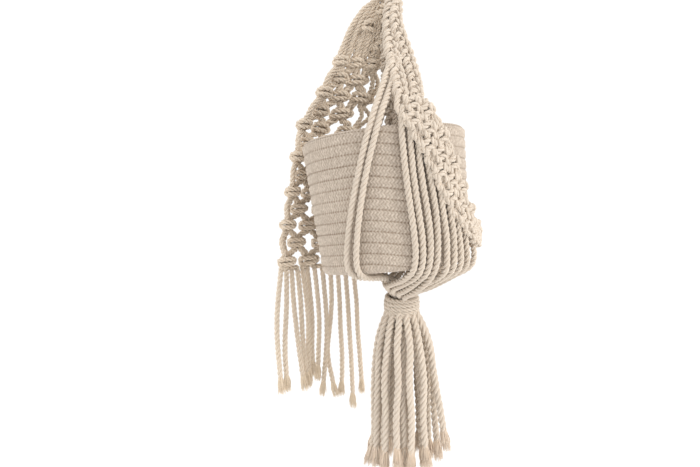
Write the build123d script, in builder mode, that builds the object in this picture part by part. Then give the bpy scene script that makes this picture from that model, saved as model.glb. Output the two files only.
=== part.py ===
"""Hanging macrame planter: a knotted cotton sling and net that carry a coiled rope basket.

Millimetres, +Z up. The origin is where a hook carries the ring, at the inside of its top.
+X is to the right of someone who faces the planter and +Y points away from them.
"""
from build123d import *
from math import cos, pi, radians, sin, tan
import os

# The cord that everything is knotted from
cord_d = 4.5
gap = 0.5

# Hanging ring and the gathering knot under it
ring_inner_r = 15.0
ring_wire_r = 2.0
loop_bearings = (-33, -11, 11, 33)
neck_r = 8.5
neck_z = -50.0
neck_bottom = -64.0

# The net hangs behind the basket, so the rest sits a little to the front of the ring
balance_x = -4.0
balance_y = -6.0

# Coiled basket, leaning to the left in its sling
rim_centre = (balance_x - 1.0, balance_y, -170.0)
base_centre = (balance_x + 9.0, balance_y, -265.8)
rim_r = 59.5
base_r = 54.0
wall_thick = 7.0
base_round = 6.0

# Knotted bands of the sling
band_thick = 6.0
strip_lap = 1.0
strap_widths = (9, 10, 12, 14, 17)
band_widths = (18, 22, 21, 20, 18)
corner_widths = (14, 16, 14)

# Knotted net behind the basket
net_thick = 6.0

# Gathering knot under the basket, and the tassel under that
knot_r = 12.9
knot_x = balance_x + 13.0
knot_z = -295.0
knot_bottom = -299.0

# Half of the sling in front of the basket. The half behind it is its mirror image.
strap_tops = {"front": (8.5, 1.5, -61), "back": (8.5, -10.5, -61)}
strap_route = [(5.5, -13, -88), (7.5, -21, -105), (10, -31, -121), (13, -43, -138), (14, -55.5, -153)]
band_route = [(14, -57, -155), (23, -60, -170), (32, -55.5, -186), (40, -50, -204),
              (48, -43.5, -221), (58, -31.5, -236)]
corner_route = [(58, -31.5, -237), (66, -12.5, -242), (66, 12.5, -242), (58, 31.5, -237)]

pair_routes = [
    [(0.5, -37, -127), (-4, -50, -145), (-10, -62.5, -163), (-15.5, -60.5, -183), (-20, -57.5, -203),
     (-24, -53.5, -225), (-26.5, -49.5, -244), (-27.2, -47.3, -257), (-26.3, -46.3, -267), (-20, -38.5, -273),
     (-9.5, -26, -276.5), (1, -13.5, -280.5)],
    [(5.5, -38.5, -129), (1, -51, -146), (-5.2, -63.3, -163.5), (-10.5, -61.5, -183), (-15, -59, -203),
     (-18.5, -56, -225), (-20.5, -53, -244), (-21, -51.2, -257), (-20.2, -49.8, -267), (-13.8, -42.3, -273),
     (-3, -28, -276), (6.5, -13, -280.5)],
]
front_routes = [
    [(8.5, -60.5, -158), (8, -62.5, -171), (9.3, -62, -186), (11.3, -60.8, -204), (14.8, -59.3, -228),
     (17.3, -57.9, -244), (18, -57.4, -257)],
    [(13.2, -62, -166), (14.4, -60.9, -185), (16.2, -59.8, -204), (20, -57.8, -228), (22.5, -56.4, -244),
     (23, -56.1, -257)],
    [(18.8, -60.5, -176), (19.6, -59.4, -188), (21.6, -58.1, -204), (26, -55.9, -228), (28, -54.6, -244),
     (28, -54.4, -257)],
    [(24, -58.5, -183), (25.3, -57.5, -193), (27.9, -56, -206), (30.8, -54.2, -221), (32.8, -52.4, -237),
     (33.2, -52.1, -257)],
]
side_routes = [
    [(33, -54.4, -203), (35, -52.9, -215), (37, -51, -229), (39.3, -49, -242), (39.8, -48.7, -257)],
    [(39.2, -50.5, -213), (42.1, -47.9, -228), (44.5, -45.6, -240), (45.5, -44.6, -257)],
    [(45.6, -44.9, -225), (48.6, -41.8, -239), (50.6, -38.9, -257)],
    [(51, -39.6, -232), (54, -34.8, -243), (55.8, -31.3, -257)],
    [(59.8, -24.5, -240), (62, -18.5, -247), (63, -14.6, -256)],
]

# Levels of the net: its height, then its left edge, its middle and its right edge
net_levels = [
    (-66.2, (-4, 6), (-2, 8), (0.5, 10)),
    (-80, (-22, 12), (-13, 13), (-5, 15)),
    (-102, (-33, 16), (-18, 24), (-3, 30)),
    (-132, (-47, 14), (-36, 33), (-13, 51)),
    (-160, (-64, 15), (-53, 44), (-19, 67)),
    (-205, (-71, 15), (-56, 46), (-20, 69)),
    (-240, (-78, 13), (-58, 45), (-20, 67)),
    (-266, (-78.5, 12), (-57, 44), (-20, 65)),
]
net_pieces = {"net_neck": (0, 2), "net_upper": (2, 4), "net_lower": (4, 7)}

# Free ends of the net's cords, from left to right
fringe_routes = [
    [(-77, 14, -268.5), (-79.5, 13, -291), (-80.5, 14, -314), (-79, 15.5, -337), (-76.5, 15, -360)],
    [(-73.5, 19.5, -268.5), (-73, 19, -293), (-74.5, 18, -318), (-74.5, 19, -340), (-72.5, 20.5, -359)],
    [(-70, 25, -268.5), (-69, 25.5, -290), (-66.5, 24.5, -312), (-63.5, 25, -336), (-60, 26, -360)],
    [(-66, 30.5, -268.5), (-63.5, 31, -290), (-62.5, 30, -312), (-61, 31, -336), (-57.5, 32, -359)],
    [(-62.5, 35.5, -268.5), (-59.5, 36.5, -289), (-57.5, 37, -313), (-58.5, 36, -336), (-57, 37.5, -357)],
    [(-59, 41, -268.5), (-56.5, 41.5, -290), (-54.8, 42, -312), (-55.5, 41.5, -334), (-54, 42.5, -352)],
    [(-53.5, 46, -268.5), (-51, 48, -290), (-49.5, 48.5, -313), (-50.5, 49, -335), (-51, 50, -357)],
    [(-47.4, 49.5, -268.5), (-45, 50, -292), (-43.5, 50.5, -316), (-44.5, 51, -342), (-47.5, 52, -370)],
    [(-41.3, 53, -268.5), (-39.5, 54.5, -290), (-41, 56, -314), (-44, 57, -337), (-40.5, 58, -356),
     (-36.5, 58.5, -372)],
    [(-35.3, 56.5, -268.5), (-33.5, 58, -292), (-33, 59.5, -318), (-31, 60.5, -344), (-32, 61.5, -372)],
    [(-29.2, 60, -268.5), (-27, 62, -294), (-25.5, 63.5, -322), (-23.5, 64.5, -351), (-22.5, 65, -383)],
    [(-23, 63.5, -268.5), (-19.5, 64.5, -293), (-19, 66, -319), (-16.5, 66.5, -344), (-15, 66, -371)],
]

# Tassel strands, each as radius and bearing round the tassel's middle and drop below its knot
tassel_routes = [
    [(10.6, 0, 6.5), (13, 2, 32), (20, -2, 68), (27, 1, 106)],
    [(10.6, 26, 6.5), (12.5, 24, 30), (18.5, 28, 66), (25, 30, 108)],
    [(10.6, 51, 6.5), (13.5, 53, 33), (19.5, 50, 70), (24, 53, 105)],
    [(10.6, 77, 6.5), (12.5, 75, 31), (19, 78, 66), (26, 76, 109)],
    [(10.6, 103, 6.5), (13, 104, 33), (18, 100, 69), (24, 102, 106)],
    [(10.6, 129, 6.5), (12.5, 127, 30), (19.5, 131, 67), (26.5, 128, 108)],
    [(10.6, 154, 6.5), (13.5, 156, 32), (19, 153, 70), (25, 157, 104)],
    [(10.6, 180, 6.5), (12.5, 178, 31), (20, 182, 66), (27, 184, 109)],
    [(10.6, 206, 6.5), (13, 207, 33), (19, 204, 69), (25.5, 208, 107)],
    [(10.6, 231, 6.5), (12.5, 229, 30), (18.5, 233, 67), (24.5, 230, 109)],
    [(10.6, 257, 6.5), (13, 259, 32), (19.5, 256, 70), (26, 258, 106)],
    [(10.6, 283, 6.5), (12.5, 281, 31), (19, 285, 66), (25, 282, 108)],
    [(10.6, 309, 6.5), (13.5, 311, 33), (19.5, 308, 69), (26.5, 312, 105)],
    [(10.6, 334, 6.5), (13.5, 333, 30), (22, 336, 62), (32, 338, 96)],
    [(5.3, 13, 3.5), (6.5, 17, 34), (10, 12, 70), (15, 15, 107)],
    [(5.3, 64, 3.5), (6.8, 60, 33), (9.5, 66, 69), (14, 63, 106)],
    [(5.3, 116, 3.5), (6.4, 120, 35), (10.5, 115, 71), (15, 119, 108)],
    [(5.3, 167, 3.5), (6.8, 163, 33), (10, 169, 69), (14, 166, 105)],
    [(5.3, 219, 3.5), (6.5, 223, 34), (9.5, 217, 70), (15, 221, 107)],
    [(5.3, 270, 3.5), (6.8, 266, 33), (10.5, 272, 71), (14, 269, 106)],
    [(5.3, 321, 3.5), (6.5, 325, 35), (10, 319, 69), (15, 323, 108)],
    [(0, 0, 2.5), (0.8, 40, 36), (1.2, 200, 72), (0.6, 90, 108)],
]


def placed(route):
    """The route's points, moved with everything that hangs under the ring."""
    return [Vector(x + balance_x, y + balance_y, z) for x, y, z in route]


def mirrored(route):
    """The same route on the other side of the basket, behind it."""
    return [(x, -y, z) for x, y, z in route]


def strand_route(strand):
    """A tassel strand's points, from its radii, bearings and drops."""
    return [Vector(knot_x + radius * cos(radians(bearing)), balance_y + radius * sin(radians(bearing)),
                   knot_bottom - drop) for radius, bearing, drop in strand]


def bend_radii(points):
    """For each corner, the arc that takes up nine tenths of its shorter run's half."""
    radii = []
    for before, corner, after in zip(points, points[1:], points[2:]):
        turn = (corner - before).get_angle(after - corner)
        shorter = min((corner - before).length, (after - corner).length)
        radii.append(0.45 * shorter / tan(radians(turn / 2)))
    return radii


def cord(name, points):
    """A plain tube along straight runs joined by tangent arcs."""
    radii = bend_radii(points)
    with BuildPart() as tube:
        with BuildLine():
            path = FilletPolyline(*points, radius=radii)
        with BuildSketch(Plane(origin=path @ 0, z_dir=path % 0)):
            Circle(cord_d / 2)
        sweep()
    share = tube.part.volume / (path.length * pi * cord_d**2 / 4)
    print(f"{name}: length {path.length:.1f}, tightest {min(radii):.0f}, volume share {share:.3f}")
    return tube.part


def strip(points, widths):
    """A plain strip along the points, its flat side towards the middle of the sling."""
    with BuildPart() as band:
        for start, end, width in zip(points, points[1:], widths):
            run = end - start
            middle = (start + end) / 2
            outward = Vector(middle.X - balance_x, middle.Y - balance_y, 0)
            square_to_run = outward - run * (outward.dot(run) / run.dot(run))
            with BuildSketch(Plane(origin=start, x_dir=square_to_run, z_dir=run)):
                Rectangle(band_thick, width)
            extrude(amount=run.length + strip_lap)
    return band.part


def net_edge(across, aside):
    """One long edge of the net's section: its left, middle and right points, moved in +Y by aside."""
    return [(x + balance_x, y + balance_y + aside) for x, y in across]


def save(name, solid):
    """Label a piece and write it to its own file."""
    solid.label = name
    export_step(solid, f"parts/{name}.step")


os.makedirs("parts", exist_ok=True)

# --- Ring, its loops and the neck ---
ring_r = ring_inner_r + ring_wire_r
ring_centre = (0, 0, -ring_inner_r)
with BuildPart() as hanging_ring:
    with Locations(Location(ring_centre, (90, 0, 0))):
        Torus(ring_r, ring_wire_r)
save("hanging_ring", hanging_ring.part)

loop_r = ring_wire_r + gap + cord_d / 2
collar_r = 6.0
collar_top = -37.0
with BuildPart() as ring_loops:
    for bearing in loop_bearings:
        across = Vector(sin(radians(bearing)), 0, -cos(radians(bearing)))
        along = Vector(cos(radians(bearing)), 0, sin(radians(bearing)))
        with Locations(Plane(origin=Vector(*ring_centre) + across * ring_r, x_dir=across, z_dir=along)):
            Torus(loop_r, cord_d / 2)
        foot = Vector(*ring_centre) + across * (ring_r + loop_r)
        leg = Vector(foot.X / 3, 0, neck_z + neck_r) - foot
        with BuildSketch(Plane(origin=foot, z_dir=leg)):
            Circle(cord_d / 2)
        extrude(amount=leg.length)
    with BuildSketch(Plane.XY.offset(collar_top)):
        Circle(collar_r)
    extrude(amount=neck_z - collar_top)
    with Locations((0, 0, neck_z)):
        Sphere(neck_r + gap, mode=Mode.SUBTRACT)
save("ring_loops", ring_loops.part)

with BuildPart() as top_wrap:
    with BuildSketch(Plane.XZ) as neck_profile:
        with BuildLine():
            dome = CenterArc((0, neck_z), neck_r, 0, 90)
            Polyline(dome @ 1, (0, neck_bottom), (neck_r, neck_bottom), dome @ 0)
        make_face()
    revolve(axis=Axis.Z)
save("top_wrap", top_wrap.part)

# --- Sling: straps, knotted bands and their plain cords, in front and behind ---
for side, turned in {"front": list, "back": mirrored}.items():
    save(f"strap_{side}", strip(placed(turned([strap_tops[side]] + strap_route)), strap_widths))
    save(f"band_{side}", strip(placed(turned(band_route)), band_widths))
    for group, routes in {"pair": pair_routes, "cords": front_routes, "side_cords": side_routes}.items():
        tubes = [cord(f"{group}_{side}", placed(turned(route))) for route in routes]
        with BuildPart() as bundle:
            add(tubes)
        save(f"{group}_{side}", bundle.part)
save("band_corner", strip(placed(corner_route), corner_widths))

# --- Basket, turned about its own leaning axis ---
basket_up = (Vector(*rim_centre) - Vector(*base_centre)).normalized()
basket_height = (Vector(*rim_centre) - Vector(*base_centre)).length
basket_right = Vector(basket_up.Z, 0, -basket_up.X)
basket_axis = Axis(base_centre, basket_up)
basket_plane = Plane(origin=base_centre, x_dir=basket_right, z_dir=basket_right.cross(basket_up))

with BuildPart() as basket_wall:
    with BuildSketch(basket_plane) as wall_profile:
        with BuildLine():
            Polyline((base_r - wall_thick, wall_thick), (base_r, wall_thick), (rim_r, basket_height),
                     (rim_r - wall_thick, basket_height), close=True)
        make_face()
        fillet(wall_profile.vertices().group_by(Axis.Z)[-1], wall_thick * 0.45)
    revolve(axis=basket_axis)
save("basket_wall", basket_wall.part)

with BuildPart() as basket_base:
    with BuildSketch(basket_plane) as base_profile:
        with BuildLine():
            Polyline((0, 0), (base_r - base_round, 0))
            JernArc((base_r - base_round, 0), (1, 0), base_round, 90)
            Polyline((base_r, base_round), (base_r, wall_thick), (0, wall_thick), (0, 0))
        make_face()
    revolve(axis=basket_axis)
save("basket_base", basket_base.part)

# --- Fans of cords that curl under the basket to the lower knot ---
fan_start = -82
fan_arc = 74
fan_inner = [(13, -1.5), (51.5, -1.5), (55.6, 2), (55.8, 9)]
fan_outer = [(61, 9), (60.5, -1), (56, -6.5), (45, -8), (13, -15.5)]
fan_right = basket_right * cos(radians(fan_start)) + Vector(0, 1, 0) * sin(radians(fan_start))
with BuildPart() as gather_front:
    with BuildSketch(Plane(origin=base_centre, x_dir=fan_right, z_dir=fan_right.cross(basket_up))):
        with BuildLine():
            Polyline(*fan_inner, *fan_outer, close=True)
        make_face()
    revolve(axis=basket_axis, revolution_arc=fan_arc)
save("gather_front", gather_front.part)

with BuildPart() as gather_back:
    mirror(gather_front.part, about=Plane(origin=(0, balance_y, 0), z_dir=(0, 1, 0)))
save("gather_back", gather_back.part)

# --- Lower gathering knot ---
with BuildPart() as lower_wrap:
    with BuildSketch(Plane.XZ.offset(-balance_y)):
        with BuildLine():
            crown = CenterArc((knot_x, knot_z), knot_r, 0, 90)
            Polyline(crown @ 1, (knot_x, knot_bottom), (knot_x + knot_r, knot_bottom), crown @ 0)
        make_face()
    revolve(axis=Axis((knot_x, balance_y, 0), (0, 0, 1)))
save("lower_wrap", lower_wrap.part)

# --- Net behind the basket ---
for name, (first, last) in net_pieces.items():
    with BuildPart() as net:
        for level, *across in net_levels[first:last + 1]:
            with BuildSketch(Plane.XY.offset(level)):
                with BuildLine():
                    face_line = Polyline(*net_edge(across, -net_thick / 2))
                    back_line = Polyline(*net_edge(across, net_thick / 2))
                    Line(face_line @ 0, back_line @ 0)
                    Line(face_line @ 1, back_line @ 1)
                make_face()
        loft(ruled=True)
    save(name, net.part)

# --- Free cords: the net's fringe and the tassel ---
for number, route in enumerate(fringe_routes, 1):
    name = f"fringe_cord_{number}"
    save(name, cord(name, placed(route)))

for number, strand in enumerate(tassel_routes, 1):
    name = f"tassel_cord_{number}"
    save(name, cord(name, strand_route(strand)))
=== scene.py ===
import math

import bpy
import numpy as np
from bpy.props import FloatProperty, FloatVectorProperty, IntProperty, PointerProperty
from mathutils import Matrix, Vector


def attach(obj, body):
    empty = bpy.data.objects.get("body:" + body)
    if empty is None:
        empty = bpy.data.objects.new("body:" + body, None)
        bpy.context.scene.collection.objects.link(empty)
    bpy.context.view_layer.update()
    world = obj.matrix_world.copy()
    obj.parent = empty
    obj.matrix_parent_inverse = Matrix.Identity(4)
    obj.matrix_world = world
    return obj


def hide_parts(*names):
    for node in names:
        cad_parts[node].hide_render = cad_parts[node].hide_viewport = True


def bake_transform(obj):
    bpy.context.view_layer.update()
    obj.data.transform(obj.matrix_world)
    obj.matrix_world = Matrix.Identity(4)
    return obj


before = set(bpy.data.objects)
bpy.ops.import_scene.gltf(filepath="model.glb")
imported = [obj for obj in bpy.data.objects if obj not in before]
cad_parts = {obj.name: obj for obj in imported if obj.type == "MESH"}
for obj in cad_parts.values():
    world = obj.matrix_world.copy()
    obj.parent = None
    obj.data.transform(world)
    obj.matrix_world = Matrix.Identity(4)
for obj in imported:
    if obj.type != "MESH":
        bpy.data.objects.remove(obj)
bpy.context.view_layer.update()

bl_info = {
    "name": "Hanging macrame planter",
    "version": (1, 0, 0),
    "blender": (4, 5, 0),
    "location": "View3D > Sidebar > Planter",
    "description": "Knotted cotton sling, net and tassel round a coiled rope basket",
    "category": "Add Mesh",
}

MM = 0.001
# The net hangs behind the basket, so the rest sits a little to the front of the ring
BALANCE = np.array((-4.0, -6.0, 0.0))
BASE_CENTRE = np.array((5.0, -6.0, -265.8))
RIM_CENTRE = np.array((-5.0, -6.0, -170.0))
KNOT_X, KNOT_Y, KNOT_BOTTOM = 9.0, -6.0, -299.0
RING_MIDDLE, RING_RADIUS = -15.0, 17
BASKET_FOOT, BASKET_CORNER, WALL_SPREAD = 54, 6, 5.5

# -------- routes, in millimetres, before BALANCE is added

PAIR_ROUTES = [
    [(5.6, -31, -118), (2.6, -35.5, -123.5), (0.5, -39, -129), (-4, -50, -145), (-10, -62.5, -163),
     (-15.5, -60.5, -183), (-20, -57.5, -203), (-24, -53.5, -225), (-26.5, -49.5, -244),
     (-27.2, -47.3, -257), (-26.3, -46.3, -266.5), (-20, -38.5, -271.3), (-9.5, -26, -271.2),
     (1, -13.5, -273.5), (7, -5, -279.5), (11, 2, -290)],
    [(10, -31.5, -119), (7.8, -36, -125), (5.5, -40, -131), (1, -51, -146), (-5.2, -63.3, -163.5),
     (-10.5, -61.5, -183), (-15, -59, -203), (-18.5, -56, -225), (-20.5, -53, -244),
     (-21, -51.2, -257), (-20.2, -49.8, -266.5), (-13.8, -42.3, -271.6), (-3, -28, -270.9),
     (6.5, -13, -274), (11, -4, -280.5), (14, 2, -290)],
]
FRONT_ROUTES = [
    [(8.5, -60.5, -158), (8, -62.5, -171), (9.3, -62, -186), (11.3, -60.8, -204), (14.8, -59.3, -228),
     (17.3, -57.9, -244), (18, -57.4, -257), (16.8, -54, -266), (11.5, -44, -272), (5, -30, -275.5),
     (0.5, -17, -278.5), (5, -6, -283), (10, 3, -289)],
    [(13.2, -62, -166), (14.4, -60.9, -185), (16.2, -59.8, -204), (20, -57.8, -228), (22.5, -56.4, -244),
     (23, -56.1, -257), (21.6, -53, -266.5), (16.3, -43.5, -272.5), (9.8, -30, -277), (4.8, -16.5, -281),
     (8, -6, -285), (12, 3, -290)],
    [(18.8, -60.5, -176), (19.6, -59.4, -188), (21.6, -58.1, -204), (26, -55.9, -228), (28, -54.6, -244),
     (28, -54.4, -257), (26.3, -51.5, -267), (21, -42.5, -273), (14, -29.5, -280.2), (9, -17, -283.5),
     (11.5, -7, -286.5), (14, 2, -291)],
    [(24, -58.5, -183), (25.3, -57.5, -193), (27.9, -56, -206), (30.8, -54.2, -221), (32.8, -52.4, -237),
     (33.2, -52.1, -257), (31, -49.5, -267), (25.8, -41, -275.5), (18.3, -29, -282.5), (13.5, -17, -286),
     (15, -8, -288), (16, 0, -292)],
]
SIDE_ROUTES = [
    [(33, -54.4, -203), (35, -52.9, -215), (37, -51, -229), (39.3, -49, -242), (39.8, -48.7, -257)],
    [(39.2, -50.5, -213), (42.1, -47.9, -228), (44.5, -45.6, -240), (45.5, -44.6, -257)],
    [(45.6, -44.9, -225), (48.6, -41.8, -239), (50.6, -38.9, -257)],
    [(51, -39.6, -232), (54, -34.8, -243), (55.8, -31.3, -257)],
    [(59.8, -24.5, -240), (62, -18.5, -247), (63, -14.6, -256)],
]
# How a plain cord goes on under the basket: distance from the basket's axis and height over its base
UNDER_BASKET = [(57.2, 1.5), (53.8, -4.4), (45, -8.2), (33.5, -11.6), (22.5, -14.5)]

STRAP_ROUTE = [(8.5, 1.5, -61), (5.5, -13, -88), (7.5, -21, -105), (10, -31, -121), (13, -43, -138),
               (14, -55.5, -153)]
BAND_ROUTE = [(18, -59, -162), (23, -60, -170), (32, -55.5, -186), (40, -50, -204), (48, -43.5, -221),
              (58, -31.5, -236)]
CORNER_ROUTE = [(64.6, -12.5, -242.5), (64.6, 12.5, -242.5)]
BAND_WIDTHS = [9, 12, 15, 20, 23, 23, 23, 24, 24, 22, 18, 13, 10]

# The net's left edge, middle and right edge at each height
NET_LEVELS = [
    (-62, (-5, 6), (-1, 8), (3, 10)),
    (-80, (-22, 12), (-8, 12), (7, 13)),
    (-102, (-33, 16), (-16, 24), (2, 29)),
    (-132, (-47, 14), (-32, 33), (-3, 50)),
    (-160, (-64, 15), (-50, 45), (-11, 68)),
    (-205, (-71, 15), (-56, 46), (-20, 69)),
    (-240, (-78, 13), (-58, 45), (-20, 67)),
    (-270, (-78.5, 12), (-57, 44), (-20, 65)),
]
# Rows of square knots in the net: height, first cord of each knot and the knots' size
NET_ROWS = [
    (-73, (7,), 1.1), (-84.5, (3,), 1.3), (-97, (8,), 1.1), (-109, (0, 4, 8), 1.0), (-121, (2, 6), 1.0),
    (-133, (0, 4, 8), 1.0), (-145, (2, 6), 1.0), (-157, (0, 4, 8), 1.0), (-169, (2, 6), 1.0),
    (-182, (0, 4, 8), 1.0), (-195, (2, 6), 1.0), (-208, (0, 4, 8), 1.0), (-221, (2, 6), 1.0),
    (-234, (0, 4, 8), 1.0), (-247.5, (2, 6), 1.0), (-262, (0, 4, 8), 1.05),
]

FRINGE_ROUTES = [
    [(-77, 14, -268.5), (-79.5, 13, -291), (-80.5, 14, -314), (-79, 15.5, -337), (-76.5, 15, -360)],
    [(-73.5, 19.5, -268.5), (-73, 19, -293), (-74.5, 18, -318), (-74.5, 19, -340), (-72.5, 20.5, -359)],
    [(-70, 25, -268.5), (-69, 25.5, -290), (-66.5, 24.5, -312), (-63.5, 25, -336), (-60, 26, -360)],
    [(-66, 30.5, -268.5), (-63.5, 31, -290), (-62.5, 30, -312), (-61, 31, -336), (-57.5, 32, -359)],
    [(-62.5, 35.5, -268.5), (-59.5, 36.5, -289), (-57.5, 37, -313), (-58.5, 36, -336), (-57, 37.5, -357)],
    [(-59, 41, -268.5), (-56.5, 41.5, -290), (-54.8, 42, -312), (-55.5, 41.5, -334), (-54, 42.5, -352)],
    [(-53.5, 46, -268.5), (-51, 48, -290), (-49.5, 48.5, -313), (-50.5, 49, -335), (-51, 50, -357)],
    [(-47.4, 49.5, -268.5), (-45, 50, -292), (-43.5, 50.5, -316), (-44.5, 51, -342), (-47.5, 52, -370)],
    [(-41.3, 53, -268.5), (-39.5, 54.5, -290), (-41, 56, -314), (-44, 57, -337), (-40.5, 58, -356),
     (-36.5, 58.5, -372)],
    [(-35.3, 56.5, -268.5), (-33.5, 58, -292), (-33, 59.5, -318), (-31, 60.5, -344), (-32, 61.5, -372)],
    [(-29.2, 60, -268.5), (-27, 62, -294), (-25.5, 63.5, -322), (-23.5, 64.5, -351), (-22.5, 65, -383)],
    [(-23, 63.5, -268.5), (-19.5, 64.5, -293), (-19, 66, -319), (-16.5, 66.5, -344), (-15, 66, -371)],
]

# Tassel strands, each as radius and bearing round the tassel's middle and drop below its knot
TASSEL_ROUTES = [
    [(9.6, 0, -2), (15.5, 2, 8), (21.5, -2, 24), (23.5, 3, 48), (23.5, -2, 76), (27, 1, 106)],
    [(9.6, 26, -2), (15, 25, 8), (20.5, 28, 24), (22.5, 23, 48), (23, 30, 76), (25, 30, 108)],
    [(9.6, 51, -2), (14.5, 52, 8), (20, 49, 24), (21.5, 55, 48), (22, 49, 76), (24, 53, 105)],
    [(9.6, 77, -2), (14.5, 76, 8), (19.5, 79, 24), (20.5, 73, 48), (22, 79, 76), (26, 76, 109)],
    [(9.6, 103, -2), (14.5, 104, 8), (19.5, 101, 24), (20.5, 106, 48), (21, 100, 76), (24, 102, 106)],
    [(9.6, 129, -2), (14.5, 128, 8), (19.5, 131, 24), (20.5, 126, 48), (21.5, 132, 76), (26.5, 128, 108)],
    [(9.6, 154, -2), (14.5, 155, 8), (19, 152, 24), (20.5, 157, 48), (20, 152, 76), (24, 157, 104)],
    [(9.6, 180, -2), (14.5, 179, 8), (18.5, 182, 24), (20.5, 177, 48), (20.5, 183, 74), (20, 187, 91),
     (25, 186, 108)],
    [(9.6, 206, -2), (14.5, 207, 8), (18.5, 204, 24), (20.5, 209, 48), (20, 203, 76), (22, 209, 107)],
    [(9.6, 231, -2), (14.5, 230, 8), (19, 233, 24), (20.5, 227, 48), (20.5, 235, 76), (20.5, 229, 109)],
    [(9.6, 257, -2), (14.5, 258, 8), (19, 255, 24), (20.5, 260, 48), (21, 253, 76), (22.5, 259, 106)],
    [(9.6, 283, -2), (15, 282, 8), (19.5, 285, 24), (21, 279, 48), (21.5, 287, 76), (23, 281, 108)],
    [(9.6, 309, -2), (15, 310, 8), (20.5, 306, 24), (22.5, 312, 48), (22.5, 305, 76), (25, 312, 105)],
    [(9.6, 334, -2), (15.5, 333, 8), (21.5, 336, 22), (24.5, 334, 42), (29, 337, 68), (33.5, 338, 95)],
    [(5, 13, -2), (8, 16, 8), (13, 18, 30), (16, 11, 62), (17, 17, 86), (19, 15, 107)],
    [(5, 64, -2), (8, 61, 8), (13, 67, 30), (15.5, 60, 62), (16.5, 66, 86), (18.5, 63, 106)],
    [(5, 116, -2), (8, 119, 8), (12.5, 113, 30), (15.5, 119, 62), (17, 114, 86), (19, 119, 108)],
    [(5, 167, -2), (8, 164, 8), (13, 170, 30), (15.5, 164, 62), (16.5, 169, 86), (18.5, 166, 105)],
    [(5, 219, -2), (8, 222, 8), (13.5, 216, 30), (16, 222, 62), (17, 215, 86), (18.5, 221, 107)],
    [(5, 270, -2), (8, 267, 8), (14, 273, 30), (16.5, 266, 62), (17, 273, 86), (18, 269, 106)],
    [(5, 321, -2), (8, 324, 8), (14, 318, 30), (16.5, 324, 62), (17.5, 318, 86), (19.5, 323, 108)],
    [(0, 0, -2), (0, 0, 2.5), (0.8, 40, 36), (1.2, 200, 72), (0.6, 90, 108)],
]


def with_mirror(half, axis):
    """The points of half a knot, and then their mirror image in reverse order."""
    return half + [tuple(-value if place == axis else value for place, value in enumerate(point))
                   for point in half[::-1]]


# A square knot, in cord diameters: across, up its column and out of it
FILLER_CORD = with_mirror([(0.52, 1.3, 0), (0.42, 0.5, 0)], 1)
OVER_CORD = with_mirror([(-1.25, 1.3, 0), (-1.15, 0.8, 0.25), (-0.5, 0.56, 0.82), (0.4, 0.5, 0.92),
                         (1.15, 0.46, 0.52), (1.7, 0.22, 0.02)], 1)
UNDER_CORD = with_mirror([(1.25, 1.3, 0.2), (1.36, 0.72, 0.95), (1.12, 0.12, 0.25), (0.5, 0.36, -0.82),
                          (-0.45, 0.46, -0.92), (-1.25, 0.5, -0.45), (-1.68, 0.48, 0.25),
                          (-1.36, 0.3, 0.95)], 1)

# A lark's head on the ring: along the ring's wire, away from the ring's middle and towards the back
LARKS_HEAD = with_mirror([(-1.2, 9, 1.4), (-1.5, 3.4, 3.2), (-1.6, -0.6, 4.0), (-1.65, -3.8, 0.2),
                          (-1.6, -0.8, -3.9), (-1.6, 2.6, -4.1), (-0.9, 4.9, -3.9)], 0)

# How far a frayed fibre may stand away from its cord's end
LONGEST_FIBRE = 4.5 * MM


# -------- lines and cord meshes


def smooth_line(points):
    """Points in metres along the NURBS spline that has these control points, in millimetres."""
    curve = bpy.data.curves.new("route", "CURVE")
    curve.dimensions = "3D"
    curve.resolution_u = 16
    spline = curve.splines.new("NURBS")
    spline.points.add(len(points) - 1)
    for control, point in zip(spline.points, points):
        control.co = (*(np.asarray(point) * MM), 1)
    spline.order_u = 3
    spline.use_endpoint_u = True
    holder = bpy.data.objects.new("route", curve)
    bpy.context.scene.collection.objects.link(holder)
    mesh = bpy.data.meshes.new_from_object(holder.evaluated_get(bpy.context.evaluated_depsgraph_get()))
    line = np.array([v.co for v in mesh.vertices])
    bpy.data.objects.remove(holder)
    bpy.data.curves.remove(curve)
    bpy.data.meshes.remove(mesh)
    return line


def curved_through(points, per_span=6):
    """A smooth line that passes through every point."""
    knots = np.array(points, float)
    knots = np.vstack([2 * knots[0] - knots[1], knots, 2 * knots[-1] - knots[-2]])
    before, start, end, after = knots[:-3], knots[1:-2], knots[2:-1], knots[3:]
    share = np.linspace(0, 1, per_span, endpoint=False)[None, :, None]
    a, b, c, d = (k[:, None, :] for k in (before, start, end, after))
    line = 0.5 * (2 * b + (c - a) * share + (2 * a - 5 * b + 4 * c - d) * share**2
                  + (3 * b - a - 3 * c + d) * share**3)
    return np.vstack([line.reshape(-1, 3), knots[-2:-1]])


def along(line):
    """How far along the line each of its points is."""
    return np.concatenate([[0], np.cumsum(np.linalg.norm(np.diff(line, axis=0), axis=1))])


def even_steps(line, step):
    """The same line with its points a step apart."""
    distance = along(line)
    count = max(4, int(round(distance[-1] / step)) + 1)
    wanted = np.linspace(0, distance[-1], count)
    return np.stack([np.interp(wanted, distance, line[:, k]) for k in range(3)], axis=1)


def unit(vectors):
    return vectors / np.maximum(np.linalg.norm(vectors, axis=-1, keepdims=True), 1e-12)


def carried_frames(line):
    """Two directions square to the line, carried along it without twist."""
    ahead = unit(np.gradient(line, axis=0))
    side = np.zeros_like(line)
    first = np.cross(ahead[0], (0.0, 1.0, 0.0))
    if np.linalg.norm(first) < 0.2:
        first = np.cross(ahead[0], (1.0, 0.0, 0.0))
    side[0] = unit(first)
    for k in range(1, len(line)):
        side[k] = unit(side[k - 1] - ahead[k] * np.dot(side[k - 1], ahead[k]))
    return side, np.cross(ahead, side)


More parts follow.
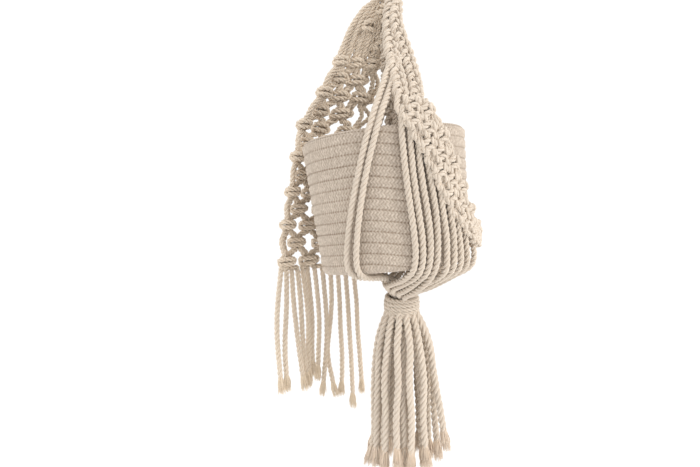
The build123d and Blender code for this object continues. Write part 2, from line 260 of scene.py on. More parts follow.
def ringed_quads(steps, sides):
    """Quads between rings of points, and the ring and place that each quad starts from."""
    row, column = np.divmod(np.arange((steps - 1) * sides), sides)
    after = (column + 1) % sides
    quads = np.stack([row * sides + column, row * sides + after, (row + 1) * sides + after,
                      (row + 1) * sides + column], axis=1)
    return quads, row, column


def smooth_mesh(name, points, quads, caps=()):
    """A smooth mesh of quads. caps are larger faces that close its ends."""
    mesh = bpy.data.meshes.new(name)
    mesh.vertices.add(len(points))
    mesh.vertices.foreach_set("co", points.astype(np.float32).ravel())
    corners = np.concatenate([quads.ravel(), *caps]).astype(np.int32)
    mesh.loops.add(len(corners))
    mesh.loops.foreach_set("vertex_index", corners)
    counts = [4] * len(quads) + [len(cap) for cap in caps]
    mesh.polygons.add(len(counts))
    mesh.polygons.foreach_set("loop_start", np.concatenate([[0], np.cumsum(counts)[:-1]]).astype(np.int32))
    mesh.polygons.foreach_set("use_smooth", np.ones(len(counts), bool))
    mesh.update(calc_edges=True)
    return mesh


def mark(mesh, name, values):
    """Give every point of the mesh a number that its finish can read."""
    mesh.attributes.new(name, "FLOAT", "POINT").data.foreach_set("value", values.astype(np.float32).ravel())


def placed(mesh, finish):
    """The finished mesh as an object in the scene."""
    mesh.validate()
    made = bpy.data.objects.new(mesh.name, mesh)
    bpy.context.scene.collection.objects.link(made)
    mesh.materials.append(finish)
    return made


class Cordage:
    """The plies of one or more cords, gathered into one mesh."""

    def __init__(self):
        self.points, self.quads, self.coils, self.tones = [], [], [], []
        self.count = 0

    def tube(self, centres, side, aside, radii, turn, tone, length, sides=8, grooved=True):
        """A closed tube round the centres. turn is where its first edge points."""
        steps = len(centres)
        angle = np.asarray(turn)[:, None] + np.linspace(0, 2 * math.pi, sides, endpoint=False)[None]
        reach = np.asarray(radii)[:, None, None]
        rings = centres[:, None] + reach * (np.cos(angle)[..., None] * side[:, None]
                                            + np.sin(angle)[..., None] * aside[:, None])
        self.points.append(rings.reshape(-1, 3))
        quads, row, column = ringed_quads(steps, sides)
        around = np.full((len(column), 4), 0.5)
        if grooved:
            around = np.stack([column, column + 1, column + 1, column], axis=1) / sides
        down = np.stack([length[row], length[row], length[row + 1], length[row + 1]], axis=1)
        caps = []
        for base, backwards in ((0, True), ((steps - 1) * sides, False)):
            for k in range(1, sides // 2):
                cap = [base + k - 1, base + k, base + sides - 1 - k, base + sides - k]
                caps.append(cap[::-1] if backwards else cap)
        self.quads.append(np.vstack([quads, caps]) + self.count)
        self.coils.append(np.vstack([np.stack([around, down], axis=2).reshape(-1, 2),
                                     np.tile([0.5, 0.0], (len(caps) * 4, 1))]))
        self.tones.append(np.full(steps * sides, tone))
        self.count += steps * sides

    def cord(self, line, size, seed, step=1.1 * MM, lay=2.7, plies=3, ends=(1.0, 1.0), sides=8):
        """A twisted cord of that diameter along the line."""
        chance = np.random.default_rng(seed)
        line = even_steps(np.asarray(line), step)
        side, aside = carried_frames(line)
        distance = along(line)
        core, ply = 0.238 * size, 0.266 * size
        phase, tone = chance.uniform(0, 2 * math.pi), chance.uniform(0, 1)
        pull = 1 + 0.05 * np.sin(distance / (5.5 * size) + phase)
        swell = np.interp(distance, [0, 0.8 * size, distance[-1] - 0.8 * size, distance[-1]],
                          [ends[0], 1, 1, ends[1]])
        for number in range(plies):
            turn = 2 * math.pi * (distance / (lay * size) + number / plies) + phase
            away = np.cos(turn)[:, None] * side + np.sin(turn)[:, None] * aside
            centres = line + away * (core * swell * pull)[:, None]
            own = ply * swell * (1 + 0.04 * np.sin(distance / (1.7 * size) + phase + 2 * number))
            self.tube(centres, side, aside, own, turn + math.pi, tone, distance / size, sides)

    def fray(self, tip, ahead, size, seed, count=90):
        """Loose fibres that fan out of a cut end."""
        chance = np.random.default_rng(seed)
        ahead = unit(np.asarray(ahead, float))
        side = unit(np.cross(ahead, (0.31, 0.9, 0.2)))
        aside = np.cross(ahead, side)
        for _ in range(count):
            bearing, out = chance.uniform(0, 2 * math.pi), math.sqrt(chance.uniform(0.02, 1))
            away = side * math.cos(bearing) + aside * math.sin(bearing)
            start = tip - ahead * 2.5 * size + away * 0.36 * size * out
            middle = tip - ahead * chance.uniform(0.8, 1.3) * size
            middle = middle + away * (0.42 + 0.28 * chance.uniform()) * size * (0.4 + 0.6 * out)
            end = tip + ahead * chance.uniform(-0.1, 0.78) * size
            end = end + away * size * (0.35 + 0.55 * chance.uniform()) * (0.25 + 0.75 * out)
            end = tip + (end - tip) * min(1.0, LONGEST_FIBRE / max(np.linalg.norm(end - tip), 1e-9))
            stray = unit(chance.normal(size=3)) * 0.13 * size
            line = curved_through([start, middle + stray, (middle + end) / 2 - stray * 0.6, end], 3)
            across, upright = carried_frames(line)
            shares = np.linspace(0, 1, len(line))
            thick = size * chance.uniform(0.032, 0.062)
            self.tube(line, across, upright, thick * (1 - 0.75 * shares**1.5), np.zeros(len(line)),
                      chance.uniform(1.3, 2.0), shares * 3, sides=4, grooved=False)

    def piece(self, name, finish, body=None, slot="cord"):
        """The gathered cords as one piece."""
        mesh = smooth_mesh(name, np.vstack(self.points), np.vstack(self.quads))
        coil = mesh.uv_layers.new(name="along_cord")
        coil.data.foreach_set("uv", np.vstack(self.coils).astype(np.float32).ravel())
        mark(mesh, "cord_tone", np.concatenate(self.tones))
        made = placed(mesh, finish)
        if body:
            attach(made, body)
        return made


# -------- grounds that knots lie on


class NetGround:
    """The curved sheet that the net's knots lie on, in millimetres."""

    def __init__(self):
        self.heights = np.array([level[0] for level in NET_LEVELS], float)
        self.across = np.array([level[1:] for level in NET_LEVELS], float)

    def edge(self, down, share):
        height = np.clip(-down, -self.heights[0], -self.heights[-1])
        left, middle, right = (np.array([np.interp(height, -self.heights, self.across[:, k, axis])
                                         for axis in range(2)]) for k in range(3))
        bulge = middle - (left + right) / 2
        return left + (right - left) * share + bulge * 4 * share * (1 - share)

    def width(self, down):
        line = np.array([self.edge(down, share) for share in (0, 0.25, 0.5, 0.75, 1)])
        return along(np.hstack([line, np.zeros((5, 1))]))[-1]

    def at(self, across, down, out):
        share = 0.5 + across / self.width(down)
        here = self.edge(down, share)
        slope = self.edge(down, share + 0.02) - self.edge(down, share - 0.02)
        outward = np.array((-slope[1], slope[0])) / np.linalg.norm(slope)
        here = here + outward * out
        return np.array((here[0], here[1], down)) + BALANCE


class StripGround:
    """The strip that a strap's or band's knots lie on, its face away from the sling's middle."""

    def __init__(self, route, widths):
        self.line = curved_through(route, 10)
        self.distance = along(self.line)
        self.length = self.distance[-1]
        self.stations = np.linspace(0, self.length, len(widths))
        self.widths = widths

    def width(self, down):
        return float(np.interp(down, self.stations, self.widths))

    def spot(self, down):
        return np.array([np.interp(down, self.distance, self.line[:, k]) for k in range(3)])

    def at(self, across, down, out):
        here = self.spot(down)
        run = unit(self.spot(down + 3) - self.spot(down - 3))
        outward = np.array((here[0] * 0.8 + 1.0, here[1], 0.0))
        outward = unit(outward - run * np.dot(outward, run))
        return here + np.cross(run, outward) * across + outward * out + BALANCE


def square_knots(ground, rows, count, size, seed, sign=-1, depth=0.9):
    """Points of the cords through rows of square knots, in millimetres. sign is -1 where down is a height."""
    chance = np.random.default_rng(seed)
    lines = [[] for _ in range(count)]
    for number, (down, firsts, scale) in enumerate(rows):
        width = ground.width(down)
        squeeze = min(1.1, max(0.5, width / (count * size)))
        tied = set()
        for first in firsts:
            middle = ((first + 2) / count - 0.5) * width * 0.96
            flip = 1 if (number + first // 2) % 2 else -1
            lean, nudge = chance.uniform(-0.12, 0.12), chance.uniform(-0.3, 0.3)
            roles = [OVER_CORD, [(-u, v, w) for u, v, w in FILLER_CORD], FILLER_CORD, UNDER_CORD]
            if flip < 0:
                roles = [[(-u, v, w) for u, v, w in role] for role in roles[::-1]]
            for cord, role in zip(range(first, first + 4), roles):
                for u, v, w in role:
                    across, drop = u * squeeze * size * scale, v * size * scale
                    lines[cord].append(ground.at(middle + across - drop * lean,
                                                 down - sign * drop + nudge + lean * across,
                                                 w * size * scale * depth))
            tied |= set(range(first, first + 4))
        for cord in set(range(count)) - tied:
            share = (cord + 0.5) / count - 0.5
            out = 0.6 if cord % 2 else -0.6
            lines[cord].append(ground.at(share * width * 1.04, down, out * size * 0.3))
    return lines


def plaits(ground, start, stop, size):
    """Points of eight cords: two plaits of three side by side, and two cords straight behind them."""
    lines = [[] for _ in range(8)]
    step, pitch, widest = 2.9, 24, 5.6
    for down in np.arange(start, stop, step):
        apart = min(widest, max(1.2, (ground.width(down) - 11) * 0.62))
        for cord in range(8):
            if cord in (3, 4):
                lines[cord].append(ground.at((cord - 3.5) * size * 0.5, down, -0.8 * size))
                continue
            side = -1 if cord < 3 else 1
            turn = 2 * math.pi * (down / pitch + (cord % 3 if side < 0 else cord - 5) / 3)
            over = (0.5 if side < 0 else -0.5) * max(0.0, 1 - apart / widest)
            lines[cord].append(ground.at(side * (apart + 0.86 * size * math.sin(turn)), down,
                                         size * (0.42 * math.sin(2 * turn) + over)))
    return lines


# -------- finishes


class Value:
    """What varies over a surface. Sums and products of it add their own nodes."""

    def __init__(self, finish, socket):
        self.finish, self.socket = finish, socket

    def result(self, operation, first, second):
        return self.finish.node("ShaderNodeMath", {"operation": operation}, {0: first, 1: second})

    def __add__(self, other):
        return self.result("ADD", self, other)

    def __sub__(self, other):
        return self.result("SUBTRACT", self, other)

    def __rsub__(self, other):
        return self.result("SUBTRACT", other, self)

    def __mul__(self, other):
        return self.result("MULTIPLY", self, other)

    __radd__, __rmul__ = __add__, __mul__


class Finish:
    """One material and the nodes that make it."""

    def __init__(self, name):
        self.material = bpy.data.materials.new(name)
        self.material.use_nodes = True
        self.tree = self.material.node_tree
        self.surface = self.tree.nodes["Principled BSDF"]

    def set(self, socket, value):
        if isinstance(value, Value):
            self.tree.links.new(value.socket, socket)
        elif value is not None:
            socket.default_value = value

    def noise(self, place, scale, detail, roughness=0.5):
        """Cloudy noise, from 0 to 1."""
        return self.node("ShaderNodeTexNoise", {}, {"Vector": place, "Scale": scale, "Detail": detail,
                                                    "Roughness": roughness})

    def node(self, kind, settings, sockets, output=0):
        """A node of that kind: its settings first, then its sockets' values or links."""
        made = self.tree.nodes.new(kind)
        for name, value in settings.items():
            setattr(made, name, value)
        for name, value in sockets.items():
            self.set(made.inputs[name], value)
        return Value(self, made.outputs[output])

    def mix(self, share, first, second):
        """A colour between two colours."""
        return self.node("ShaderNodeMix", {"data_type": "RGBA"}, {0: share, 6: first, 7: second}, 2)

    def surface_is(self, **sockets):
        for name, value in sockets.items():
            self.set(self.surface.inputs[name.replace("_", " ")], value)

    def bump(self, height, strength, distance):
        self.set(self.surface.inputs["Normal"], self.node(
            "ShaderNodeBump", {}, {"Strength": strength, "Distance": distance, "Height": height}))


def shade(colour, factor):
    return (*(min(1.0, c * factor) for c in colour[:3]), 1.0)


# deep is the painted shade colour of the grooves between the plies; the darker fibre streaks also borrow it
def cotton(name, colour, deep):
    """Soft twisted cotton: fibres along each ply, paler and darker cords, shaded grooves."""
    finish = Finish(name)
    node = finish.node
    coil = node("ShaderNodeUVMap", {"uv_map": "along_cord"}, {})
    place = node("ShaderNodeTexCoord", {}, {}, 3)
    tone = node("ShaderNodeAttribute", {"attribute_name": "cord_tone"}, {}, 2)
    around = node("ShaderNodeSeparateXYZ", {}, {0: coil})
    down = node("ShaderNodeSeparateXYZ", {}, {0: coil}, 1)
    slant = node("ShaderNodeCombineXYZ", {}, {0: around * 15 + down * 3.2, 1: down * 1.4, 2: tone * 40})
    fibres = finish.noise(slant, 1.0, 3.0, 0.6)
    strands = node("ShaderNodeCombineXYZ", {}, {0: around * 34 + down * 6.0, 1: down * 2.5, 2: tone * 90})
    fine = finish.noise(strands, 1.0, 2.0)
    patches = finish.noise(place, 38.0, 3.0, 0.55)
    fuzz = finish.noise(place, 1900.0, 2.0, 0.7)
    ridge = around * (1.0 - around) * 4
    # Painted shade: how far into the groove between two plies a point lies sets how much it is darkened
    groove_shade = node("ShaderNodeMapRange", {"interpolation_type": "SMOOTHSTEP"},
                  {"Value": ridge, "From Min": 0.15, "From Max": 0.85, "To Min": 1.0, "To Max": 0.0})
    spun = finish.mix(tone * 0.5 + patches * 0.5, shade(colour, 0.93), shade(colour, 1.06))
    # Loose fibres have a tone over 1
    frayed = (min(1, colour[0] * 1.12), colour[1] * 1.03, colour[2] * 0.95, 1.0)
    light = finish.mix(tone - 1.0, spun, frayed)
    streaked = finish.mix(fibres * 1.1 - 0.25, finish.mix(0.5, light, (*deep, 1.0)), light)
    # Painted shade: the grooves between the plies are painted towards the deep groove colour
    finish.surface_is(Base_Color=finish.mix(groove_shade * 0.5, streaked, (*deep, 1.0)),
                      Roughness=0.86 + fine * 0.12, Specular_IOR_Level=0.22, Sheen_Weight=0.25,
                      Sheen_Roughness=0.5, Sheen_Tint=(1.0, 0.95, 0.88, 1.0), Diffuse_Roughness=0.4)
    finish.bump(fibres * 0.6 + fine * 0.55 + fuzz * 0.3, 0.8, 0.00028)
    return finish.material


# -------- sizes and colours


class PlanterSizes(bpy.types.PropertyGroup):
    cord: FloatProperty(name="Cord", description="Diameter of the sling's, fringe's and tassel's cords",
                        default=4.5 * MM, min=3 * MM, max=6 * MM, unit="LENGTH")
    net_cord: FloatProperty(name="Net cord", description="Diameter of the net's cords in its knots",
                            default=4.1 * MM, min=3 * MM, max=6 * MM, unit="LENGTH")
    band_cord: FloatProperty(name="Band cord", description="Diameter of the cords in the knotted bands",
                             default=4.35 * MM, min=2 * MM, max=5 * MM, unit="LENGTH")
    wrap_cord: FloatProperty(name="Wrap cord", description="Diameter of the cord wound round the bundles",
                             default=3.9 * MM, min=2 * MM, max=5 * MM, unit="LENGTH")
    band_pitch: FloatProperty(name="Band rows", description="Distance between rows of the bands' knots",
                              default=9.4 * MM, min=6 * MM, max=14 * MM, unit="LENGTH")
    coil_rows: IntProperty(name="Basket rows", description="How many rows of rope the basket's wall has",
                           default=13, min=8, max=20)


class PlanterColours(bpy.types.PropertyGroup):
    cotton: FloatVectorProperty(name="Cotton", description="Colour of the sling and tassel",
                                default=(0.83, 0.745, 0.645), size=3, subtype="COLOR", min=0, max=1)
    # Painted shade: the darker colour that is painted into the grooves between a cord's plies
    cotton_groove_shade: FloatVectorProperty(name="Cotton grooves", description="Colour between a cord's plies",
                                       default=(0.44, 0.345, 0.255), size=3, subtype="COLOR", min=0, max=1)
    # The net's own cream colour, painted lighter than the sling's to make up for the shade it hangs in behind
    # the basket; the fringe shares it
    net: FloatVectorProperty(name="Net", description="Colour of the net and its fringe",
                             default=(0.95, 0.85, 0.72), size=3, subtype="COLOR", min=0, max=1)
    # Painted shade: the darker colour that is painted into the grooves between the net's plies
    net_groove_shade: FloatVectorProperty(name="Net grooves", description="Colour between the net's plies",
                                    default=(0.44, 0.315, 0.205), size=3, subtype="COLOR", min=0, max=1)
    basket: FloatVectorProperty(name="Basket", description="Colour of the basket's rope",
                                default=(0.69, 0.603, 0.512), size=3, subtype="COLOR", min=0, max=1)
    # Painted shade: the dark colour that is painted into the seams between the basket's rows and into its
    # stitch hollows
    basket_groove_shade: FloatVectorProperty(name="Basket grooves", description="Colour between its rows",
                                       default=(0.22, 0.155, 0.105), size=3, subtype="COLOR", min=0, max=1)
    ring: FloatVectorProperty(name="Ring", description="Colour of the hanging ring",
                              default=(0.72, 0.71, 0.69), size=3, subtype="COLOR", min=0, max=1)


def sizes():
    return bpy.context.scene.planter_sizes


def colours():
    return bpy.context.scene.planter_colours


def sling_cotton():
    name = "sling_cotton"
    return bpy.data.materials.get(name) or cotton(name, colours().cotton, colours().cotton_groove_shade)


def net_cotton():
    name = "net_cotton"
    return bpy.data.materials.get(name) or cotton(name, colours().net, colours().net_groove_shade)


# -------- pieces


class PLANTER_OT_stage(bpy.types.Operator):
    """Put in the camera, the soft studio lights and the pale floor"""
    bl_idname = "planter.stage"
    bl_label = "Stage"

    def execute(self, context):
        scene = context.scene
        scene.view_settings.view_transform = "Standard"
        camera = bpy.data.cameras.new("camera")
        camera.sensor_width, camera.lens = 36.0, 35.49
        camera.clip_start, camera.clip_end = 0.01, 50
        view = bpy.data.objects.new("camera", camera)
        view.location = (-0.029, -0.513, -0.2408)
        view.rotation_euler = (math.radians(90), 0, 0)
        scene.collection.objects.link(view)
        scene.camera = view
        world = bpy.data.worlds.new("studio")
        world.use_nodes = True
        sky = world.node_tree.nodes["Background"].inputs
        sky["Color"].default_value, sky["Strength"].default_value = (1.0, 1.0, 1.0, 1.0), 1.06
        scene.world = world
        for name, place, aim, size, power in (
                ("key_light", (0.95, -0.65, 0.35), (0.0, 0, -0.2), 0.6, 8.5),
                ("fill_light", (-0.95, -0.35, 0.25), (0, 0, -0.2), 1.0, 2.5)):
            lamp = bpy.data.lights.new(name, "AREA")
            lamp.shape, lamp.size, lamp.energy = "DISK", size, power
            lamp.color = (1.0, 0.985, 0.96)
            stand = bpy.data.objects.new(name, lamp)
            stand.location = place
            stand.rotation_euler = (Vector(place) - Vector(aim)).to_track_quat("Z", "Y").to_euler()
            scene.collection.objects.link(stand)
        sides, radius, level = 64, 9.0, -0.62
        turns = [2 * math.pi * k / sides for k in range(sides)]
        rim = [(radius * math.cos(t), radius * math.sin(t), level) for t in turns]
        ground = bpy.data.meshes.new("floor")
        faces = [(0, k + 1, (k + 1) % sides + 1) for k in range(sides)]
        ground.from_pydata([(0, 0, level), *rim], [], faces)
        floor = bpy.data.objects.new("floor", ground)
        scene.collection.objects.link(floor)
        ground.materials.append(pale_floor())
        return {"FINISHED"}


def pale_floor():
    """Matt white with a faint grain."""
    finish = Finish("pale_floor")
    grain = finish.noise(None, 30.0, 2.0)
    pale, grey = (0.99, 0.99, 0.99, 1), (0.975, 0.975, 0.975, 1)
    finish.surface_is(Base_Color=finish.mix(grain * 0.3, pale, grey), Roughness=0.9)
    return finish.material


class PLANTER_OT_tassel(bpy.types.Operator):
    """Hang the tassel's cords from the lower knot"""
    bl_idname = "planter.tassel"
    bl_label = "Tassel"

    def execute(self, context):
        size = sizes().cord
        for number, strand in enumerate(TASSEL_ROUTES, 1):
            points = [(KNOT_X + r * math.cos(math.radians(b)), KNOT_Y + r * math.sin(math.radians(b)),
                       KNOT_BOTTOM - drop) for r, b, drop in strand]
            hang_cord(f"tassel_strand_{number}", f"tassel_cord_{number}", points, size * 1.18,
                      number, sling_cotton())
        return {"FINISHED"}


class PLANTER_OT_fringe(bpy.types.Operator):
    """Hang the fringe under the net"""
    bl_idname = "planter.fringe"
    bl_label = "Fringe"

    def execute(self, context):
        size = sizes().cord
        for number, route in enumerate(FRINGE_ROUTES, 1):
            points = hung(route)
            hang_cord(f"fringe_strand_{number}", f"fringe_cord_{number}", points, size * 0.94,
                      40 + number, net_cotton())
        return {"FINISHED"}


def hang_cord(name, node, points, size, seed, finish):
    """One free cord with a frayed end. size is its diameter."""
    line = smooth_line(points)
    keep = along(line) <= along(line)[-1] - 1.7 * size
    bundle = Cordage()
    bundle.cord(line[keep], size, seed, ends=(1.0, 0.75))
    bundle.fray(line[-1], line[-1] - line[-3], size, seed + 500)
    made = bundle.piece(name, finish)
    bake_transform(made)
    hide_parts(node)


def basket_axes():
    """The basket's leaning axis, and its directions to the right and to the back."""
    up = unit(RIM_CENTRE - BASE_CENTRE)
    right = np.array((up[2], 0.0, -up[0]))
    return up, right, np.cross(up, right)


def under_basket(last, order):
    """A plain cord's points under the basket, from its last point on the wall to inside the lower knot."""
    up, right, back = basket_axes()
    away = last - BASE_CENTRE
    bearing = math.atan2(away[1], np.dot(away, right))
    points = []
    outward = right * math.cos(bearing) + back * math.sin(bearing)
    for reach, height in UNDER_BASKET:
        # Every second cord runs a little lower, so that the cords have room where they come together
        drop = 2.4 * (order % 2) * max(0.0, min(1.0, (46 - reach) / 20))
        points.append(BASE_CENTRE + outward * reach + up * (height - drop))
    for reach, height in ((10, -283.5), (6, -291.0)):
        across, deep = reach * math.cos(bearing), reach * math.sin(bearing)
        points.append(np.array((KNOT_X + across, KNOT_Y + deep, height)))
    return points


def behind(route):
    """The same route mirrored to the back."""
    return [(x, -y, z) for x, y, z in route]


def hung(route):
    """The route's points where the planter hangs."""
    return [np.array(point) + BALANCE for point in route]


class PLANTER_OT_plain_cords(bpy.types.Operator):
    """Lay the sling's plain cords down the basket and under it to the lower knot"""
    bl_idname = "planter.plain_cords"
    bl_label = "Plain cords"

    def execute(self, context):
        size = sizes().cord
        for side, turned in (("front", list), ("back", behind)):
            seed = 100 if side == "front" else 200
            pairs, plain = Cordage(), Cordage()
            for number, route in enumerate(PAIR_ROUTES):
                pairs.cord(smooth_line(hung(turned(route))), size, seed + number)
            for number, route in enumerate(FRONT_ROUTES + SIDE_ROUTES):
                points = hung(turned(route))
                if route in SIDE_ROUTES:
                    points = points[:-1] + under_basket(points[-1], number)
                plain.cord(smooth_line(points), size, seed + 20 + number)
            crossing = pairs.piece(f"crossing_cords_{side}", sling_cotton())
            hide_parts(f"pair_{side}")
            straight = plain.piece(f"plain_cords_{side}", sling_cotton())
            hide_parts(f"cords_{side}", f"side_cords_{side}", f"gather_{side}")
            for made in (crossing, straight):
                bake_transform(made)
        return {"FINISHED"}


class PLANTER_OT_bands(bpy.types.Operator):
    """Knot the band that runs down the front, round the corner and up the back"""
    bl_idname = "planter.bands"
    bl_label = "Knotted bands"

    def execute(self, context):
        size = sizes().band_cord / MM
        front = STRAP_ROUTE + BAND_ROUTE
        route = front + CORNER_ROUTE + behind(front)[:0:-1] + [(8.5, -4.5, -61)]
        ground = StripGround(route, BAND_WIDTHS + BAND_WIDTHS[-2::-1])
        pitch = sizes().band_pitch / MM
        plaited, joining = 106, 12
        count = int((ground.length - 2 * plaited - joining) / pitch) + 1
        first = (ground.length - (count - 1) * pitch) / 2
        rows = [(first + pitch * k, (0, 4) if k % 2 else (2,), 1.0) for k in range(count)]
        knotted = square_knots(ground, rows, 8, size, 7, sign=1, depth=0.76)
        down = plaits(ground, 1.0, plaited, size)
        up = plaits(ground, ground.length - plaited, ground.length - 1.0, size)
        bundle = Cordage()
        for number in range(8):
            line = curved_through(np.array(down[number] + knotted[number] + up[number]) * MM, 5)
            bundle.cord(line, size * MM, 300 + number)
        made = bundle.piece("knotted_band", sling_cotton(), "sling")
        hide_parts("strap_front", "band_front", "band_corner", "band_back", "strap_back")
        return {"FINISHED"}


class PLANTER_OT_net(bpy.types.Operator):
    """Knot the net behind the basket"""
    bl_idname = "planter.net"
    bl_label = "Net"

    def execute(self, context):
        size = sizes().net_cord / MM
        ground = NetGround()
        bundle = Cordage()
        lines = square_knots(ground, NET_ROWS, 12, size, 3)
        for number, (points, route) in enumerate(zip(lines, FRINGE_ROUTES)):
            line = curved_through(np.array(points) * MM, 5)
            turn = 2 * math.pi * number / len(lines)
            top = np.array((-2 + 3.4 * math.cos(turn), 7 + 3.4 * math.sin(turn), -62)) + BALANCE
            foot = hung(route)[0]
            above = np.array((top + (1.5, -2, 6), top)) * MM
            below = np.array((foot + (0, 0, 1.5), foot)) * MM
            bundle.cord(np.vstack([above, line, below]), size * MM, 400 + number)
        made = bundle.piece("knotted_net", net_cotton(), slot="net_cord")
        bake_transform(made)
        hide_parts("net_neck", "net_upper", "net_lower")
        return {"FINISHED"}


def winding(turns, heights, radii, centre, tilt=0.0, dip=0.0, start=0.0, per_turn=28):
    """A line in metres, wound round an upright bundle. Its heights and radii there are in millimetres."""
    share = np.linspace(0, 1, int(turns * per_turn))
    bearing = start + share * turns * 2 * math.pi
    height = heights[0] + (heights[-1] - heights[0]) * share
    radius = np.interp(-height, [-h for h in heights], radii)
    across, deep = np.cos(bearing) * radius, np.sin(bearing) * radius
    height = height + tilt * across + dip * deep
    return np.stack([centre[0] + across, centre[1] + deep, height], axis=1) * MM


class PLANTER_OT_wraps(bpy.types.Operator):
    """Wind the wraps that gather the cords over and under the basket"""
    bl_idname = "planter.wraps"
    bl_label = "Wraps"

    def execute(self, context):
        size = sizes().wrap_cord
        lower = Cordage()
        lower.cord(winding(4.9, (-286.8, -289, -294, -300.5), (10.6, 11.4, 11.5, 10.8), (KNOT_X, KNOT_Y),
                           tilt=0.05, dip=0.2, start=2.2), size, 71)
        made = lower.piece("lower_gathering_wrap", sling_cotton(), "knot")
        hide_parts("lower_wrap")
        upper = Cordage()
        upper.cord(winding(6.2, (-43, -46, -50, -62.5), (4.8, 6.2, 6.8, 6.8), (0, 0), tilt=0.06, start=0.4),
                   size * 0.92, 72)
        made = upper.piece("upper_gathering_wrap", sling_cotton(), "sling")
        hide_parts("top_wrap")
        return {"FINISHED"}


class PLANTER_OT_ring(bpy.types.Operator):
    """Finish the hanging ring and tie the cords' loops on it"""
    bl_idname = "planter.ring"
    bl_label = "Ring and loops"

    def execute(self, context):
        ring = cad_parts["hanging_ring"]
        ring.data.materials.clear()
        ring.data.materials.append(satin_steel())
        for polygon in ring.data.polygons:
            polygon.use_smooth = True
        loops = Cordage()
        for number, bearing in enumerate((-33, -11, 11, 33)):
            line = curved_through(np.array(ring_loop(number, bearing)) * MM)
            loops.cord(line, 3.1 * MM, 80 + number, step=0.9 * MM)
        made = loops.piece("ring_loop_cords", sling_cotton())
        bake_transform(made)
        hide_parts("ring_loops")
        return {"FINISHED"}


def ring_loop(number, bearing):
    """One cord's points: up from the wrap, round the ring's wire in a lark's head and down again."""
    turn = math.radians(bearing)
    away = np.array((math.sin(turn), 0, -math.cos(turn)))
    wire = np.array((math.cos(turn), 0, math.sin(turn)))
    centre = np.array((0, 0, RING_MIDDLE)) + away * RING_RADIUS
    knot = [centre + wire * t + away * r + np.array((0, 1.0, 0)) * y for t, r, y in LARKS_HEAD]
    foot = np.array((centre[0] / 3.4, 0.9 * (-1) ** number, -46.0))
    up = [foot + wire * -0.8, (foot + knot[0]) / 2 + (0, 0, 1.0)]
    down = [(foot + knot[-1]) / 2 + (0, 0, 1.0), foot + wire * 0.8]
    return up + knot + down


def satin_steel():
    """Brushed steel wire with a little wear."""
    finish = Finish("satin_steel")
    place = finish.node("ShaderNodeTexCoord", {}, {}, 3)
    stretched = finish.node("ShaderNodeVectorMath", {"operation": "MULTIPLY"},
                            {0: place, 1: (300.0, 9000.0, 300.0)})
    brush = finish.noise(stretched, 1.0, 2.0)
    wear = finish.noise(place, 90.0, 4.0)
    colour = colours().ring
    finish.surface_is(Base_Color=finish.mix(wear * 0.8, (*colour, 1.0), shade(colour, 0.72)),
                      Metallic=1.0, Roughness=0.26 + wear * 0.2)
    finish.bump(brush, 0.25, 0.0001)
    return finish.material


class PLANTER_OT_basket(bpy.types.Operator):
    """Coil and stitch the rope basket"""
    bl_idname = "planter.basket"
    bl_label = "Basket"

    def execute(self, context):
        up, right, back = basket_axes()
        tall = float(np.linalg.norm(RIM_CENTRE - BASE_CENTRE))
        around = 900
        turn = np.linspace(0, 2 * math.pi, around, endpoint=False)
        outline = basket_outline(tall)
        raised, groove_shade, stitch = rope_relief(outline, turn, (tall - 1.0) / sizes().coil_rows)
        slope = unit(np.gradient(outline, axis=0))
        r = outline[:, :1] + raised * slope[:, 1:]
        h = outline[:, 1:] + raised * -slope[:, :1]
        outward = np.cos(turn)[None, :, None] * right + np.sin(turn)[None, :, None] * back
        points = (BASE_CENTRE + r[..., None] * outward + h[..., None] * up) * MM
        last = (len(outline) - 1) * around
        mesh = smooth_mesh("coiled_basket", points.reshape(-1, 3), ringed_quads(len(outline), around)[0],
                           (np.arange(around)[::-1], last + np.arange(around)))
        # The groove mask only sets the painted shade between the rows
        mark(mesh, "row_groove_shade", groove_shade)
        mark(mesh, "row_stitch", stitch)
        basket = placed(mesh, basket_rope())
        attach(basket, "basket")
        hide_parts("basket_wall", "basket_base")
        return {"FINISHED"}


def rope_relief(outline, turn, pitch, stitches=150):
    """How far the rope stands out along the outline and round the turn, how deep in the groove between two
    rows each point lies (the mask for the painted shade there) and its stitches.
    """
    reach, height = outline[:, :1], outline[:, 1:]
    # The rope climbs one row over a sixth of a turn, across the basket's front
    climb = np.clip((((turn / (2 * math.pi)) - 0.25) % 1 - 0.42) / 0.16, 0, 1)
    climb = climb * climb * (3 - 2 * climb)
    flat = reach < BASKET_FOOT - BASKET_CORNER
    phase = np.where(flat, (BASKET_FOOT - reach) / pitch, (height + 0.4) / pitch) + climb[None]
    bulge = np.abs(np.sin(math.pi * phase)) ** 0.55
    ribs = np.abs(np.sin(2 * math.pi * phase)) ** 0.6
    zigzag = np.abs((phase * 2) % 1 - 0.5) * 2
    stitch = np.cos(stitches * turn[None] + 2 * math.pi * 0.8 * zigzag)
    raised = 0.7 * bulge + 0.3 * ribs + 0.36 * stitch * (0.3 + 0.7 * ribs) * bulge - 0.9
    return raised, 1 - bulge * (0.86 + 0.14 * ribs), stitch * 0.5 + 0.5


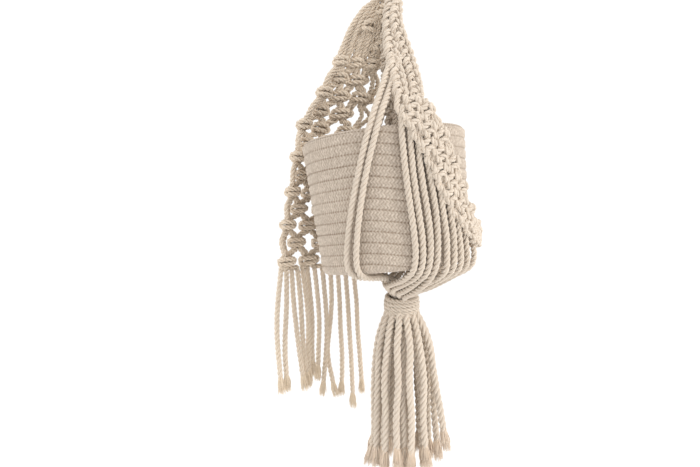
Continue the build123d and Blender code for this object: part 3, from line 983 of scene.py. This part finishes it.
def basket_outline(tall):
    """The basket's outline from under its middle, up the wall, over the rim and down to the floor inside."""
    lip, lip_rise, floor = 3.5, 3.3, 7.0
    flat, rim = BASKET_FOOT - BASKET_CORNER, BASKET_FOOT + WALL_SPREAD - lip
    lean = WALL_SPREAD / (tall - BASKET_CORNER)
    quarter, half = np.linspace(0, math.pi / 2, 12), np.linspace(0, math.pi, 16)
    return np.array(
        [(1.0, 0.0)] + [(r, 0.0) for r in np.arange(1.8, flat, 0.9)]
        + [(flat + BASKET_CORNER * math.sin(a), BASKET_CORNER * (1 - math.cos(a))) for a in quarter]
        + [(BASKET_FOOT + lean * (h - BASKET_CORNER), h) for h in np.arange(6.6, tall - 3.2, 0.62)]
        + [(rim + lip * math.cos(a), tall - lip_rise + lip_rise * math.sin(a)) for a in half]
        + [(rim - lip - WALL_SPREAD * (tall - h) / tall, h) for h in np.arange(tall - 4.2, floor + 0.4, -1.1)]
        + [(r, floor) for r in np.arange(45.5, 1, -1.6)])


def basket_rope():
    """Stitched cotton rope: small slanting stitches, with painted shade in the stitch hollows and in the
    seams between the rows.
    """
    finish = Finish("basket_rope")
    node = finish.node
    # deep is the painted shade colour of the seams and stitch hollows; the thread mottling also borrows it
    colour, deep = colours().basket, (*colours().basket_groove_shade, 1.0)
    place = node("ShaderNodeTexCoord", {}, {}, 3)
    groove_shade = node("ShaderNodeAttribute", {"attribute_name": "row_groove_shade"}, {}, 2)
    stitch = node("ShaderNodeAttribute", {"attribute_name": "row_stitch"}, {}, 2)
    patches = finish.noise(place, 30.0, 4.0, 0.6)
    threads = finish.noise(place, 520.0, 3.0, 0.65)
    fuzz = finish.noise(place, 2100.0, 2.0, 0.6)
    # Painted shade: how deep in the seam between two rows a point lies
    seam_shade = node("ShaderNodeMapRange", {"interpolation_type": "SMOOTHSTEP"},
                {"Value": groove_shade, "From Min": 0.35, "From Max": 0.9, "To Min": 0.0, "To Max": 1.0})
    light = finish.mix(patches, shade(colour, 0.92), shade(colour, 1.07))
    # Painted shade: the hollows between the stitches, where the surface dips, are painted darker
    stitch_hollow_shaded = finish.mix((1.0 - stitch) * (1.0 - stitch) * 0.48, light, deep)
    mottled = finish.mix(threads * 3.4 - 1.3, finish.mix(0.42, stitch_hollow_shaded, deep), stitch_hollow_shaded)
    # Painted shade: the seams between the rows are painted towards the deep colour, more so in the stitch
    # hollows
    finish.surface_is(Base_Color=finish.mix(seam_shade * (0.35 + 0.5 * (1.0 - stitch)), mottled, deep),
                      Roughness=0.84 + fuzz * 0.14, Specular_IOR_Level=0.2, Sheen_Weight=0.2,
                      Sheen_Roughness=0.5, Sheen_Tint=(1.0, 0.95, 0.88, 1.0), Diffuse_Roughness=0.4)
    finish.bump(threads * 0.8 + fuzz * 0.4 + stitch * 0.4, 0.7, 0.0004)
    return finish.material


# -------- panel and registration

STEPS = ("stage", "tassel", "fringe", "plain_cords", "bands", "net", "wraps", "ring", "basket")


class PLANTER_PT_panel(bpy.types.Panel):
    """Sizes, colours and the steps that make the planter"""
    bl_idname = "PLANTER_PT_panel"
    bl_label = "Hanging planter"
    bl_space_type = "VIEW_3D"
    bl_region_type = "UI"
    bl_category = "Planter"

    def draw(self, context):
        for group in (sizes(), colours()):
            box = self.layout.box()
            for name in group.bl_rna.properties.keys():
                if name not in ("rna_type", "name"):
                    box.prop(group, name)
        for step in STEPS:
            self.layout.operator(f"planter.{step}")


CLASSES = (
    PlanterSizes, PlanterColours, PLANTER_OT_stage, PLANTER_OT_tassel, PLANTER_OT_fringe,
    PLANTER_OT_plain_cords, PLANTER_OT_bands, PLANTER_OT_net, PLANTER_OT_wraps, PLANTER_OT_ring,
    PLANTER_OT_basket, PLANTER_PT_panel,
)


def register():
    for entry in CLASSES:
        bpy.utils.register_class(entry)
    bpy.types.Scene.planter_sizes = PointerProperty(type=PlanterSizes)
    bpy.types.Scene.planter_colours = PointerProperty(type=PlanterColours)


def unregister():
    del bpy.types.Scene.planter_colours
    del bpy.types.Scene.planter_sizes
    for entry in reversed(CLASSES):
        bpy.utils.unregister_class(entry)


def main():
    register()
    for step in STEPS:
        getattr(bpy.ops.planter, step)()


if __name__ == "__main__":
    main()
